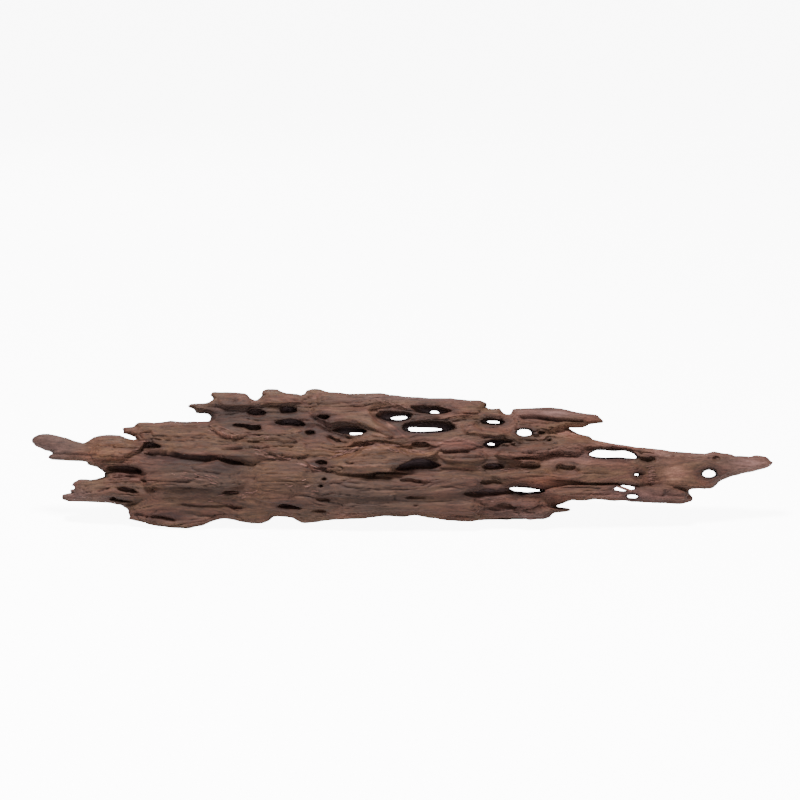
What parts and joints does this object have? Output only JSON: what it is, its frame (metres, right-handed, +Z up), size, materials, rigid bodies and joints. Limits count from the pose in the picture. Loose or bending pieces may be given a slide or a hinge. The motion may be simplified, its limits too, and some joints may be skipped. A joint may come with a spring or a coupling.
{
  "type": "weathered honeycomb wood piece",
  "caption": "Long flat piece of weathered hardwood, tapering to torn fingers at both ends, with ledges along the grain and worn holes through it.",
  "frame": {"origin": "middle of the object's bounding box, on the plane that its feet rest on", "axes": "+X along the grain towards the long thin tip, +Z up, -Y towards the broad side that the picture shows"},
  "size_m": [0.5902, 0.0804, 0.105],
  "materials": {
    "wood": "matt weathered hardwood, reddish brown, darker in the hollows"
  },
  "bodies": {
    "root": {"honeycomb_wood": "wood"}
  },
  "joints": []
}
